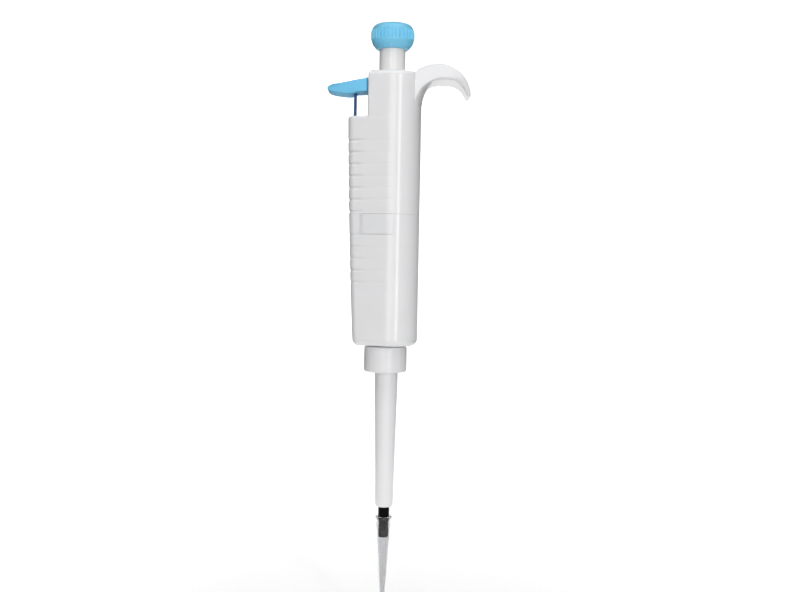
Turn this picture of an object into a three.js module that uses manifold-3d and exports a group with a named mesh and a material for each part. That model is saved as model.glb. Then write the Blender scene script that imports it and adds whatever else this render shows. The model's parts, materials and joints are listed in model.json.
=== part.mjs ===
// Single-channel adjustable micropipette, 20 to 200 microlitres, with one disposable tip on its cone.
// Millimetres. The plunger axis is x = y = 0 and z is counted from the cone's lower end while building;
// +X is the finger-hook side, -X the ejector-lever side, and Y runs across the handle.
// The finished group is moved so that its origin is the middle of the flat land under the finger hook.
import * as THREE from 'three';
import { mergeVertices } from 'three/addons/utils/BufferGeometryUtils.js';
import Module from 'manifold-3d';

const wasm = await Module();
wasm.setup();

// ---------------------------------------------------------------- driving dimensions
const GAP = 0.3; // between separate pieces that meet
const RUN = 0.15; // between turned pieces on one axis
const FACETS = 24; // sides of a round piece
const SMALL_FACETS = 12; // sides of a small round piece
const COIL_STEPS = 10; // along each turn of a spring

const HANDLE_BOTTOM = 87.1;
const SEAM = 146.5; // joint between the two handle shells
const STEP = 190.6; // top of the ejector side of the handle
const HANDLE_TOP = 211;
const WALL = 1.8;
const FLOOR = 3; // bottom wall of the handle
const REAR = { x: 1.5, y: 0, r: 12.2 }; // big round back of the section
const FRONT = { x: -15.4, y: 3.2, r: 4 }; // front corners of the section at the step
const HEAD_FRONT = -10.5; // front face of the narrow upper housing
const TAPER_LINEAR = 0.0199; // the front edge draws in below the step
const TAPER_SQUARE = 0.000168;
const BOTTOM_ROUND = 3.2;

const GROOVE_PITCH = 5.32;
const GROOVE_WIDTH = 2;
const GROOVE_DEPTH = 0.4;
const UPPER_GROOVES = { count: 7, top: 179.4, rear: 3, front: -22 };
const LOWER_GROOVES = { count: 5, top: 137, rear: 1.5, front: -14 };
const PANEL = { low: 137.2, high: SEAM - GAP, front: -14.8, rear: 2, depth: 0.55, slot: 1.5 };

const STROKE = 8; // to the first stop

const NECK_R = 5.95;
const BUTTON_BOTTOM = 221.5;
const BUTTON_TOP = 232.9;
const BUTTON_R = 9.95;
const BUTTON_RIBS = 40;
const RIB_DEPTH = 0.28;

const WINDOW = { low: 159, high: 180.6, width: 6.2, ledge: 0.8, depth: 1 };
const RING_R = 7.4;
const RING_HEIGHT = 6;
const RING_PITCH = 6.6;
const RING_BOTTOM = 160.4; // of the lowest ring
const FRAME = { low: 152, high: 183.6, plate: 2, r: 9.5 };
const POST = { x0: 1.5, x1: 3.5, inner: 7.8, outer: 8.6 };
const SCREW_R = 3.3;
const SCREW_BOTTOM = 134;
const HEX_ROD = 1.9; // centre to corner
const NUT = { low: 143, high: 149, r: 6.2 };
const PINION = { x: -9.05, r: 1.35, pin: 0.55 };

const HEAD_Z = 127.7; // underside of the piston head
const HEAD_R = 5.6;
const PLATE = { low: 106.2, high: 108, r: 5.6, stop: 3.6 };
const CUP = { low: 92.7, high: 109.5, inner: 5.8, outer: 6.3, lip: 5.1 };
const PISTON_R = 2.82;
const PISTON_BOTTOM = 76;

const SHAFT_R = 3.8;
const SHAFT_TAPER_TOP = 62;
const SHAFT_BOTTOM = 14.2;
const SHAFT_BOTTOM_R = 2.7;
const CONE_TOP_R = 2.5;
const CONE_END_R = 2.3;

const COLLAR = { x: -0.6, r: 9.7, low: 75.2, high: HANDLE_BOTTOM - GAP };
const SLEEVE = { bottom: 13.9, bottomR: 4, topR: 5.25, wall: 0.8, flange: 5.75, top: 82 };
const STRIP = { front: -17, rear: -15.9, half: 3.5, low: 182.6 };
const BAR = { front: -13.4, rear: -10.9, lowFront: -8.7, lowRear: -6.7, half: 0.8 };

const TIP = { top: 9.3, end: -41.2, flange: 3.65, endR: 0.42 };

const HOOK_SEAT = { front: 21.6, rear: 26.6, z: 207 }; // flat land at the top of the finger arch

// ---------------------------------------------------------------- materials
function plastic(color, roughness, extra = {}) {
  return new THREE.MeshStandardMaterial({ color, roughness, metalness: 0, ...extra });
}

function metal(color, roughness) {
  return new THREE.MeshStandardMaterial({ color, roughness, metalness: 1 });
}

const WHITE = () => plastic(0xeeeeef, 0.38);
const NECK_WHITE = () => plastic(0xe9e7e4, 0.35);
const BLUE = () => plastic(0x6fc3f2, 0.35);
const DEEP_BLUE = () => plastic(0x2a6fae, 0.4);
const BLACK = () => plastic(0x0b0b0c, 0.35);
const ACETAL = () => plastic(0xd8d6ce, 0.45);
const RUBBER = () => plastic(0x1c1c1e, 0.8);
const CLEAR = () => plastic(0xe8ecef, 0.2, { transparent: true, opacity: 0.45 });
const STEEL = () => metal(0xb9bcc0, 0.3);
const BRASS = () => metal(0xc6a45a, 0.35);

// ---------------------------------------------------------------- solids
function solidOf(geometry) {
  const bare = geometry.clone();
  bare.deleteAttribute('normal');
  bare.deleteAttribute('uv');
  const merged = mergeVertices(bare, 1e-4);
  return new wasm.Manifold(
    new wasm.Mesh({
      numProp: 3,
      vertProperties: new Float32Array(merged.attributes.position.array),
      triVerts: new Uint32Array(merged.index.array),
    }),
  );
}

function geometryOf(solid) {
  const mesh = solid.getMesh();
  const geometry = new THREE.BufferGeometry();
  geometry.setAttribute('position', new THREE.BufferAttribute(mesh.vertProperties.slice(), 3));
  geometry.setIndex(new THREE.BufferAttribute(mesh.triVerts.slice(), 1));
  geometry.computeVertexNormals();
  return geometry;
}

function join(...geometries) {
  return geometryOf(geometries.map(solidOf).reduce((a, b) => a.add(b)));
}

function cut(base, ...tools) {
  return geometryOf(tools.reduce((solid, tool) => solid.subtract(solidOf(tool)), solidOf(base)));
}

function common(...geometries) {
  return geometryOf(geometries.map(solidOf).reduce((a, b) => a.intersect(b)));
}

// A turned solid about the plunger axis from [radius, z] points, in order up the outside.
function turned(points, facets = FACETS, x = 0) {
  const outline = points.map(([r, z]) => new THREE.Vector2(r, z));
  const geometry = new THREE.LatheGeometry(outline, facets);
  return geometry.rotateX(Math.PI / 2).translate(x, 0, 0);
}

// A turned solid with a through bore: outside points upwards, then inside points downwards.
function turnedRing(outside, inside, facets = FACETS, x = 0) {
  return turned([...outside, ...inside, outside[0]], facets, x);
}

function disc(r, low, high, facets = FACETS, x = 0) {
  return turned([[0, low], [r, low], [r, high], [0, high]], facets, x);
}

function tube(outer, inner, low, high, facets = FACETS, x = 0) {
  return turnedRing([[outer, low], [outer, high]], [[inner, high], [inner, low]], facets, x);
}

function block(x0, x1, y0, y1, z0, z1) {
  const geometry = new THREE.BoxGeometry(x1 - x0, y1 - y0, z1 - z0);
  return geometry.translate((x0 + x1) / 2, (y0 + y1) / 2, (z0 + z1) / 2);
}

// The outline of a belt drawn tight round circles, given anticlockwise.
function belt(circles, step = Math.PI / 12) {
  const n = circles.length;
  const side = circles.map((c, i) => {
    const d = circles[(i + 1) % n];
    const span = Math.hypot(d.x - c.x, d.y - c.y);
    return Math.atan2(d.y - c.y, d.x - c.x) - Math.acos((c.r - d.r) / span);
  });
  const points = [];
  circles.forEach((c, i) => {
    const from = side[(i + n - 1) % n];
    const turn = (side[i] - from + 4 * Math.PI) % (2 * Math.PI);
    const count = Math.max(2, Math.ceil(turn / step));
    for (let k = 0; k <= count; k++) {
      const a = from + (turn * k) / count;
      points.push(new THREE.Vector2(c.x + c.r * Math.cos(a), c.y + c.r * Math.sin(a)));
    }
  });
  return new THREE.Shape(points);
}

function handleSection(inset) {
  return belt([
    { ...REAR, r: REAR.r - inset },
    { ...FRONT, r: FRONT.r - inset },
    { ...FRONT, y: -FRONT.y, r: FRONT.r - inset },
  ]);
}

// How far forward the front edge reaches at height z, as a share of its reach at the step.
function frontShare(z) {
  const drop = Math.max(0, STEP - z);
  const reach = FRONT.r - FRONT.x;
  return (reach - TAPER_LINEAR * drop - TAPER_SQUARE * drop * drop) / reach;
}

function tapered(geometry) {
  const p = geometry.attributes.position;
  for (let i = 0; i < p.count; i++) {
    if (p.getX(i) < 0) p.setX(i, p.getX(i) * frontShare(p.getZ(i)));
  }
  return geometry;
}

// The handle's outer form shrunk by an inset, between two heights, its ends rounded if asked.
function handleForm(inset, low, high, round = 0, steps = 2) {
  const geometry = new THREE.ExtrudeGeometry(handleSection(inset + round), {
    depth: high - low - 2 * round,
    steps,
    bevelEnabled: round > 0,
    bevelThickness: round,
    bevelSize: round,
    bevelSegments: 2,
  });
  return tapered(geometry.translate(0, 0, low + round));
}

// The narrow upper housing round the plunger, flat in front.
function headForm(inset, low, high, round = 0) {
  return common(
    handleForm(inset, low, high, round, 1),
    block(HEAD_FRONT + inset, 30, -20, 20, low, high),
  );
}

// A thin skin of the handle's side from the surface to a depth, between x and z limits.
function skin(depth, x0, x1, y0, y1, z0, z1, proud = 0.5) {
  const shell = cut(
    handleForm(-proud, z0 - 1, z1 + 1, 0, 1),
    handleForm(depth, z0 - 2, z1 + 2, 0, 1),
  );
  return common(shell, block(x0, x1, y0, y1, z0, z1));
}

function grooves({ count, top, rear, front }) {
  const bands = [];
  for (let i = 0; i < count; i++) {
    const z = top - i * GROOVE_PITCH;
    bands.push(skin(GROOVE_DEPTH, front, rear, -20, 20, z - GROOVE_WIDTH / 2, z + GROOVE_WIDTH / 2));
  }
  return bands;
}

// Pieces on the window's own flat: the side plane of the handle on the +Y side.
const windowTurn = Math.PI / 2 - Math.acos((REAR.r - FRONT.r) / Math.hypot(REAR.x - FRONT.x, FRONT.y))
  + Math.atan2(FRONT.y, REAR.x - FRONT.x);
const windowFace = REAR.r - REAR.x * Math.sin(windowTurn);

function onWindow(width, depthIn, depthOut, low, high) {
  const plate = block(-width / 2, width / 2, windowFace - depthIn, windowFace - depthOut, low, high);
  return plate.rotateZ(windowTurn);
}

function coilSpring(outer, wire, low, high, turns, x = 0, sides = 4) {
  const points = [];
  const count = Math.round(turns * COIL_STEPS);
  for (let i = 0; i <= count; i++) {
    const t = i / count;
    const a = t * turns * 2 * Math.PI;
    const r = outer - wire / 2;
    const z = low + wire / 2 + t * (high - low - wire);
    points.push(new THREE.Vector3(x + r * Math.cos(a), r * Math.sin(a), z));
  }
  const section = new THREE.Shape();
  for (let k = 0; k < sides; k++) {
    const a = (k * 2 * Math.PI) / sides;
    const p = [(wire / 2) * Math.cos(a), (wire / 2) * Math.sin(a)];
    if (k === 0) section.moveTo(...p);
    else section.lineTo(...p);
  }
  return new THREE.ExtrudeGeometry(section, {
    extrudePath: new THREE.CatmullRomCurve3(points),
    steps: count,
    bevelEnabled: false,
  });
}

// ---------------------------------------------------------------- handle
function upperShell() {
  const outside = join(
    handleForm(0, SEAM - 10, STEP, 1),
    headForm(0, SEAM - 10, HANDLE_TOP, 1),
  );
  const inside = join(
    handleForm(WALL, SEAM - 12, STEP - WALL),
    headForm(WALL, SEAM - 12, HANDLE_TOP - WALL),
  );
  const stripSlot = block(
    STRIP.front - GAP, STRIP.rear + GAP, -STRIP.half - GAP, STRIP.half + GAP, STEP - WALL - 1, STEP + 1,
  );
  const tongueSlot = block(HEAD_FRONT - 1, HEAD_FRONT + WALL + 1, -1.5 - GAP, 1.5 + GAP, 192.4, 207.6);
  const neckHole = disc(NECK_R + 0.25, HANDLE_TOP - WALL - 1, HANDLE_TOP + 1);
  const hookSlot = block(10, 20, -3 - GAP, 3 + GAP, 198.6, 206.4);
  return cut(
    outside,
    inside,
    block(-30, 30, -20, 20, SEAM - 20, SEAM),
    stripSlot,
    tongueSlot,
    neckHole,
    hookSlot,
    onWindow(WINDOW.width, WINDOW.depth, -2, WINDOW.low, WINDOW.high),
    onWindow(
      WINDOW.width - 2 * WINDOW.ledge, 4, -2, WINDOW.low + WINDOW.ledge, WINDOW.high - WINDOW.ledge,
    ),
    ...grooves(UPPER_GROOVES),
  );
}

function lowerShell() {
  const outside = cut(
    handleForm(0, HANDLE_BOTTOM, SEAM + 12, BOTTOM_ROUND),
    block(-30, 30, -20, 20, SEAM - GAP, SEAM + 20),
  );
  const spigot = handleForm(WALL + GAP, SEAM - 3, SEAM + 4, 0, 1);
  const spigotInside = handleForm(WALL + GAP + 1, HANDLE_BOTTOM + FLOOR + 40, SEAM + 8, 0, 2);
  const inside = handleForm(WALL, HANDLE_BOTTOM + FLOOR, SEAM - 5);
  return cut(
    join(outside, spigot),
    inside,
    spigotInside,
    disc(SHAFT_R + 0.25, HANDLE_BOTTOM - 1, HANDLE_BOTTOM + FLOOR + 1),
    block(BAR.lowFront - GAP, BAR.lowRear + GAP, -BAR.half - GAP, BAR.half + GAP, 80, 95),
    skin(PANEL.depth, PANEL.front, PANEL.rear, -20, 0, PANEL.low, PANEL.high + 1),
    ...grooves(LOWER_GROOVES),
  );
}

function gripLabel() {
  const plate = cut(
    handleForm(0.15, PANEL.low - 1, PANEL.high + 1, 0, 1),
    handleForm(PANEL.depth - 0.1, PANEL.low - 2, PANEL.high + 2, 0, 1),
  );
  const limits = block(
    PANEL.front + PANEL.slot, PANEL.rear - GAP, -20, -2, PANEL.low + GAP, PANEL.high - GAP,
  );
  return common(plate, limits);
}

function windowLens() {
  return onWindow(
    WINDOW.width - 2 * GAP, WINDOW.depth - 0.15, 0.25, WINDOW.low + GAP, WINDOW.high - GAP,
  );
}

// Half width of the finger hook in Y along its reach.
function hookHalfWidth(x) {
  const t = THREE.MathUtils.clamp((x - 10) / (HOOK_SEAT.rear - 10), 0, 1);
  const swell = 8.4 + 1.6 * t * t * (3 - 2 * t);
  const nose = THREE.MathUtils.clamp((x - 29) / 6.6, 0, 1);
  return swell - 4 * nose * nose;
}

function hookOutline() {
  const s = new THREE.Shape();
  s.moveTo(5, 192);
  s.lineTo(13.75, 192);
  s.bezierCurveTo(13.9, 200, 16.4, HOOK_SEAT.z, HOOK_SEAT.front, HOOK_SEAT.z);
  s.lineTo(HOOK_SEAT.rear, HOOK_SEAT.z);
  s.bezierCurveTo(30.4, HOOK_SEAT.z, 33.1, 204.2, 34.1, 199.7);
  s.bezierCurveTo(34.4, 198.3, 35.8, 198.4, 35.7, 199.8);
  s.bezierCurveTo(34.9, 207.6, 28.6, 213.2, 21, 213.2);
  s.bezierCurveTo(17, 213.2, 13.5, 212.3, 9.5, 210.4);
  s.lineTo(5, 210.4);
  return s;
}

// How far the round back of the handle falls away from its rearmost line at a distance y across.
function backFall(y) {
  return REAR.r - Math.sqrt(REAR.r * REAR.r - y * y);
}

// Draws the arch's foot back at its sides, so that it runs out into the round back of the handle.
function seatOnBack(geometry) {
  const p = geometry.attributes.position;
  const span = HOOK_SEAT.front - REAR.x - REAR.r;
  for (let i = 0; i < p.count; i++) {
    const share = THREE.MathUtils.clamp((HOOK_SEAT.front - p.getX(i)) / span, 0, 1);
    if (p.getZ(i) > HOOK_SEAT.z - 0.01) continue;
    p.setX(i, p.getX(i) - backFall(p.getY(i)) * share * share);
  }
  return geometry;
}

function fingerHook() {
  const round = 1.1;
  const unit = round / 8.4; // the arm is extruded from y = -1 to 1 and then widened
  const arm = new THREE.ExtrudeGeometry(hookOutline(), {
    depth: 2 * (1 - unit),
    steps: 4,
    curveSegments: 7,
    bevelEnabled: true,
    bevelThickness: unit,
    bevelSize: 0.55,
    bevelOffset: -0.55,
    bevelSegments: 2,
  });
  arm.translate(0, 0, unit - 1).rotateX(Math.PI / 2);
  const p = arm.attributes.position;
  for (let i = 0; i < p.count; i++) p.setY(i, p.getY(i) * hookHalfWidth(p.getX(i)));
  const seated = cut(seatOnBack(arm), handleForm(-GAP, 180, 220, 0, 1));
  const tongue = block(12, 16, -3, 3, 198.6 + GAP, 206.4 - GAP);
  return join(seated, common(tongue, handleForm(-1.2, 190, 215, 0, 1)));
}

function neckBush() {
  const top = HANDLE_TOP - WALL - GAP;
  return tube(8.4, NECK_R + RUN, top - 5.4, top);
}

// ---------------------------------------------------------------- volume setting
function counterFrame() {
  const { low, high, plate, r } = FRAME;
  const posts = [1, -1].map((side) => {
    const [y0, y1] = [side * POST.inner, side * POST.outer].sort((a, b) => a - b);
    return block(POST.x0, POST.x1, y0, y1, SCREW_BOTTOM, high);
  });
  const back = block(7.9, 9.3, -2.5, 2.5, low, high);
  const plates = [low, high - plate].map((z) => disc(r, z, z + plate));
  const bearing = disc(SCREW_R + RUN, low - 1, high + 1);
  const pin = disc(PINION.pin + 0.1, low - 1, high + 1, 12, PINION.x);
  return cut(join(...plates, ...posts, back), bearing, pin);
}

function leadScrew() {
  const bore = disc(HEX_ROD + 0.25, SCREW_BOTTOM - 1, FRAME.high + 5, 6);
  const flange = FRAME.high + RUN;
  const body = turned([
    [0, SCREW_BOTTOM],
    [SCREW_R - 0.3, SCREW_BOTTOM],
    [SCREW_R, SCREW_BOTTOM + 0.3],
    [SCREW_R, flange],
    [5, flange],
    [5, flange + 1.6],
    [0, flange + 1.6],
  ]);
  return cut(body, bore);
}

function counterRing(index) {
  const low = RING_BOTTOM + index * RING_PITCH;
  const high = low + RING_HEIGHT;
  const chamfer = 0.3;
  return turnedRing(
    [[RING_R - chamfer, low], [RING_R, low + chamfer], [RING_R, high - chamfer], [RING_R - chamfer, high]],
    [[SCREW_R + RUN, high], [SCREW_R + RUN, low]],
    FACETS,
  );
}

function transferPinion(index) {
  const z = RING_BOTTOM + index * RING_PITCH + RING_HEIGHT + (RING_PITCH - RING_HEIGHT) / 2;
  const teeth = 8;
  const s = new THREE.Shape();
  for (let k = 0; k < 2 * teeth; k++) {
    const a = (k * Math.PI) / teeth;
    const r = k % 2 ? PINION.r - 0.35 : PINION.r;
    if (k === 0) s.moveTo(r, 0);
    else s.lineTo(r * Math.cos(a), r * Math.sin(a));
  }
  const wheel = new THREE.ExtrudeGeometry(s, { depth: 4, bevelEnabled: false });
  wheel.translate(PINION.x, 0, z - 2);
  return cut(wheel, disc(PINION.pin + 0.12, z - 3, z + 3, 12, PINION.x));
}

function pinionPin() {
  return disc(PINION.pin, FRAME.low + 0.2, FRAME.high - 0.2, 12, PINION.x);
}

function stopNut() {
  const body = tube(NUT.r, SCREW_R + RUN, NUT.low, NUT.high);
  const lug = block(-NUT.r - 1.4, -NUT.r + 0.6, -1.4, 1.4, NUT.low, NUT.high);
  return join(body, lug);
}

// ---------------------------------------------------------------- plunger
// The grip band's facets stand alternately at full radius and one rib depth in.
function pushButton() {
  const band = { low: BUTTON_TOP - 7, high: BUTTON_TOP - 2.1 };
  const body = turned([
    [0, BUTTON_BOTTOM],
    [6.35, BUTTON_BOTTOM],
    [8.5, BUTTON_BOTTOM + 1.6],
    [9.7, band.low - 0.4],
    [BUTTON_R, band.low + 0.4],
    [BUTTON_R, band.high - 0.3],
    [8.9, BUTTON_TOP - 0.8],
    [7.6, BUTTON_TOP],
    [0, BUTTON_TOP],
  ], 2 * BUTTON_RIBS);
  const p = body.attributes.position;
  for (let i = 0; i < p.count; i++) {
    const angle = Math.atan2(p.getY(i), p.getX(i));
    const between = Math.round((angle * BUTTON_RIBS) / Math.PI) % 2 !== 0;
    if (!between || p.getZ(i) < band.low || p.getZ(i) > band.high) continue;
    const share = 1 - RIB_DEPTH / BUTTON_R;
    p.setXY(i, p.getX(i) * share, p.getY(i) * share);
  }
  return cut(
    body,
    disc(NECK_R + 0.2, BUTTON_BOTTOM - 1, 225.2),
    disc(HEX_ROD + 0.25, 225, 230.4, SMALL_FACETS),
    disc(6.6, BUTTON_TOP - 1, BUTTON_TOP + 1),
  );
}

function buttonCap() {
  return disc(6.35, BUTTON_TOP - 0.75, BUTTON_TOP);
}

function plungerSleeve() {
  const flangeTop = HANDLE_TOP - WALL - 5.4 - 2 * GAP;
  return turnedRing(
    [[7.4, flangeTop - 2], [7.4, flangeTop], [NECK_R, flangeTop], [NECK_R, 225]],
    [[HEX_ROD + 0.2, 225], [HEX_ROD + 0.2, 219], [4.2, 219], [4.2, flangeTop - 2]],
  );
}

function pushRod() {
  return disc(HEX_ROD, HEAD_Z + 4.3, 230.2, 6);
}

function pistonHead() {
  return cut(disc(HEAD_R, HEAD_Z, HEAD_Z + 4), disc(PISTON_R - 0.7, HEAD_Z - 1, HEAD_Z + 2.6));
}

function piston() {
  const neck = PISTON_R - 0.82;
  return turned([
    [0, PISTON_BOTTOM],
    [PISTON_R - 0.3, PISTON_BOTTOM],
    [PISTON_R, PISTON_BOTTOM + 0.3],
    [PISTON_R, HEAD_Z - 3],
    [neck, HEAD_Z - 3],
    [neck, HEAD_Z + 2.4],
    [0, HEAD_Z + 2.4],
  ]);
}

function blowOutPlate() {
  const stopTop = HEAD_Z - STROKE - GAP;
  return turnedRing(
    [[PLATE.r, PLATE.low], [PLATE.r, PLATE.high], [PLATE.stop, PLATE.high], [PLATE.stop, stopTop]],
    [[PISTON_R + 0.3, stopTop], [PISTON_R + 0.3, PLATE.low]],
  );
}

function springCup() {
  const { low, high, inner, outer, lip } = CUP;
  return turnedRing(
    [[outer, low], [outer, high]],
    [[lip, high], [lip, high - 1.2], [inner, high - 1.2], [inner, low]],
  );
}

// ---------------------------------------------------------------- piston barrel and cone
function shaft() {
  const bore = PISTON_R + 0.13;
  return turnedRing(
    [
      [SHAFT_BOTTOM_R, SHAFT_BOTTOM],
      [SHAFT_R, SHAFT_TAPER_TOP],
      [SHAFT_R, 90.4],
      [6.1, 90.4],
      [6.1, 92.4],
      [5.2, 92.4],
      [5.2, 98],
    ],
    [[4.6, 98], [4.6, 94], [bore, 94], [bore, 64], [1.2, 63], [1.2, 25], [1.9, 25], [1.9, SHAFT_BOTTOM]],
  );
}

function pistonSeal() {
  return tube(4.4, PISTON_R + 0.08, 94.2, 95.8);
}

function pistonORing() {
  const r = 0.66;
  const centre = PISTON_R + 0.06 + r;
  const points = [];
  const sides = 6;
  for (let k = 0; k < sides; k++) {
    const a = (k * 2 * Math.PI) / sides;
    points.push([centre + r * Math.cos(a), 96.9 + r * Math.sin(a)]);
  }
  return turned([...points, points[0]]);
}

function sealRetainer() {
  return tube(5.3, PISTON_R + 0.25, 98.3, 100);
}

function tipCone() {
  return turnedRing(
    [
      [CONE_END_R - 0.2, 0],
      [CONE_END_R, 0.4],
      [2.38, 3.6],
      [2.22, 4],
      [2.26, 7.2],
      [2.44, 7.6],
      [CONE_TOP_R, 10],
      [CONE_TOP_R, SHAFT_BOTTOM - 0.2],
      [1.65, SHAFT_BOTTOM - 0.2],
      [1.65, 24.6],
    ],
    [[0.8, 24.6], [0.8, 0]],
  );
}

// ---------------------------------------------------------------- ejector
// The lever's side outline: serrated on top, with a belly where the strip leaves it.
function leverOutline() {
  const s = new THREE.Shape();
  const inner = HEAD_FRONT - GAP;
  s.moveTo(inner, 201.9);
  s.lineTo(-15.4, 201.6);
  s.bezierCurveTo(-17, 200.4, -19.5, 200.4, -22, 200.7);
  s.bezierCurveTo(-25, 201, -27.4, 201.4, -28.9, 202);
  s.bezierCurveTo(-29.9, 202.6, -29.9, 203.8, -28.7, 204.2);
  const ridges = 6;
  const from = { x: -27.6, z: 204.6 };
  const to = { x: -13.4, z: 207.5 };
  for (let i = 0; i <= ridges; i++) {
    const t = i / ridges;
    const x = from.x + (to.x - from.x) * t;
    const z = from.z + (to.z - from.z) * t;
    s.lineTo(x, z + 0.12);
    s.lineTo(x + 0.8, z - 0.06);
  }
  s.lineTo(inner, 208.2);
  return s;
}

function ejectorLever() {
  const half = 6.2;
  const round = 0.8;
  const blade = new THREE.ExtrudeGeometry(leverOutline(), {
    depth: 2 * (half - round),
    curveSegments: 6,
    bevelEnabled: true,
    bevelThickness: round,
    bevelSize: 0.35,
    bevelOffset: -0.35,
    bevelSegments: 2,
  });
  blade.translate(0, 0, -(half - round)).rotateX(Math.PI / 2);
  const tongue = block(HEAD_FRONT - 1, HEAD_FRONT + WALL - 0.1, -1.5, 1.5, 202.2, 207.2);
  const stripSeat = block(
    STRIP.front - RUN, STRIP.rear + RUN, -STRIP.half - RUN, STRIP.half + RUN, 198, 204,
  );
  return cut(join(blade, tongue), stripSeat);
}

function ejectorStrip() {
  return block(STRIP.front, STRIP.rear, -STRIP.half, STRIP.half, STRIP.low, 203.8);
}

function ejectorBar() {
  const arm = block(STRIP.rear + GAP, BAR.rear, -BAR.half, BAR.half, STRIP.low + 0.4, 187.4);
  const stem = block(BAR.front, BAR.rear, -BAR.half, BAR.half, 124, 187.4);
  const jog = block(BAR.front, BAR.lowRear, -BAR.half, BAR.half, 124, 127.2);
  const leg = block(BAR.lowFront, BAR.lowRear, -BAR.half, BAR.half, 80.4, 127.2);
  return join(arm, stem, jog, leg);
}

function ejectorCollar() {
  const { x, r, low, high } = COLLAR;
  const round = 1.2;
  const body = turned([
    [0, low],
    [r - round, low],
    [r - 0.35, low + 0.35],
    [r, low + round],
    [r, high],
    [0, high],
  ], FACETS, x);
  return cut(
    body,
    disc(SLEEVE.topR + 0.3, low - 1, high + 1),
    disc(SLEEVE.flange + 0.3, 79.7, high + 1),
    block(BAR.lowFront - GAP, BAR.lowRear + GAP, -BAR.half - GAP, BAR.half + GAP, 80.1, high + 1),
  );
}

function ejectorSleeve() {
  const { bottom, bottomR, topR, wall, flange, top } = SLEEVE;
  return turnedRing(
    [
      [bottomR - 0.5, bottom],
      [bottomR, bottom + 1],
      [topR, 75],
      [topR, 80],
      [flange, 80],
      [flange, top],
    ],
    [[topR - wall, top], [topR - wall, 75], [bottomR - wall, bottom]],
  );
}

// ---------------------------------------------------------------- disposable tip
function pipetteTip() {
  return turnedRing(
    [
      [TIP.endR, TIP.end],
      [1.4, -22.6],
      [2.45, -4],
      [2.8, -1],
      [3.0, 3],
      [3.15, 3.6],
      [3.4, 8.2],
      [TIP.flange, 8.5],
      [TIP.flange, TIP.top],
    ],
    [
      [2.66, TIP.top],
      [2.58, 8.8],
      [2.42, 0],
      [2.02, -4],
      [1, -22.6],
      [0.22, TIP.end],
    ],
  );
}

// ---------------------------------------------------------------- assembly
const pipette = new THREE.Group();
pipette.name = 'micropipette';

function place(name, geometry, material) {
  const mesh = new THREE.Mesh(geometry, material);
  mesh.name = name;
  pipette.add(mesh);
}

place('handle_upper_shell', upperShell(), WHITE());
place('handle_lower_shell', lowerShell(), WHITE());
place('finger_hook', fingerHook(), WHITE());
place('grip_label', gripLabel(), WHITE());
place('volume_window', windowLens(), CLEAR());
place('neck_bush', neckBush(), ACETAL());

place('counter_frame', counterFrame(), ACETAL());
place('lead_screw', leadScrew(), BRASS());
place('counter_ring_low', counterRing(0), BLACK());
place('counter_ring_middle', counterRing(1), BLACK());
place('counter_ring_high', counterRing(2), BLACK());
place('transfer_pinion_low', transferPinion(0), ACETAL());
place('transfer_pinion_high', transferPinion(1), ACETAL());
place('pinion_pin', pinionPin(), STEEL());
place('volume_stop_nut', stopNut(), ACETAL());

place('push_button', pushButton(), BLUE());
place('button_cap', buttonCap(), BLUE());
place('plunger_sleeve', plungerSleeve(), NECK_WHITE());
place('push_rod', pushRod(), STEEL());
place('piston_head', pistonHead(), ACETAL());
place('piston', piston(), STEEL());
place('primary_spring', coilSpring(4.9, 0.8, PLATE.high + 0.2, HEAD_Z - 0.2, 7), STEEL());
place('blow_out_plate', blowOutPlate(), STEEL());
place('blow_out_spring', coilSpring(5.3, 1, 100.2, PLATE.low - 0.2, 3), STEEL());
place('spring_cup', springCup(), STEEL());

place('shaft', shaft(), WHITE());
place('piston_seal', pistonSeal(), plastic(0xf4f4f0, 0.5));
place('piston_o_ring', pistonORing(), RUBBER());
place('seal_retainer', sealRetainer(), STEEL());
place('tip_cone', tipCone(), BLACK());

place('ejector_lever', ejectorLever(), BLUE());
place('ejector_strip', ejectorStrip(), DEEP_BLUE());
place('ejector_bar', ejectorBar(), STEEL());
place('ejector_spring', coilSpring(2.2, 0.6, 90.3, 123.8, 9, -11.4), STEEL());
place('ejector_collar', ejectorCollar(), WHITE());
place('ejector_sleeve', ejectorSleeve(), WHITE());

place('pipette_tip', pipetteTip(), CLEAR());

const seatX = (HOOK_SEAT.front + HOOK_SEAT.rear) / 2;
pipette.position.set(-seatX, 0, -HOOK_SEAT.z);

const group = new THREE.Group();
group.add(pipette);
export default group;
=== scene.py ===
"""Looks for a 20 to 200 microlitre pipette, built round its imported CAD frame.

Shapes are worked out in millimetres from the plunger axis (x = y = 0) and the lower end of the
black cone (z = 0), which is how such an instrument is drawn. Both come from the frame, and
to_row() turns them into metres in the row's frame.
"""

import json
import math

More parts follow.
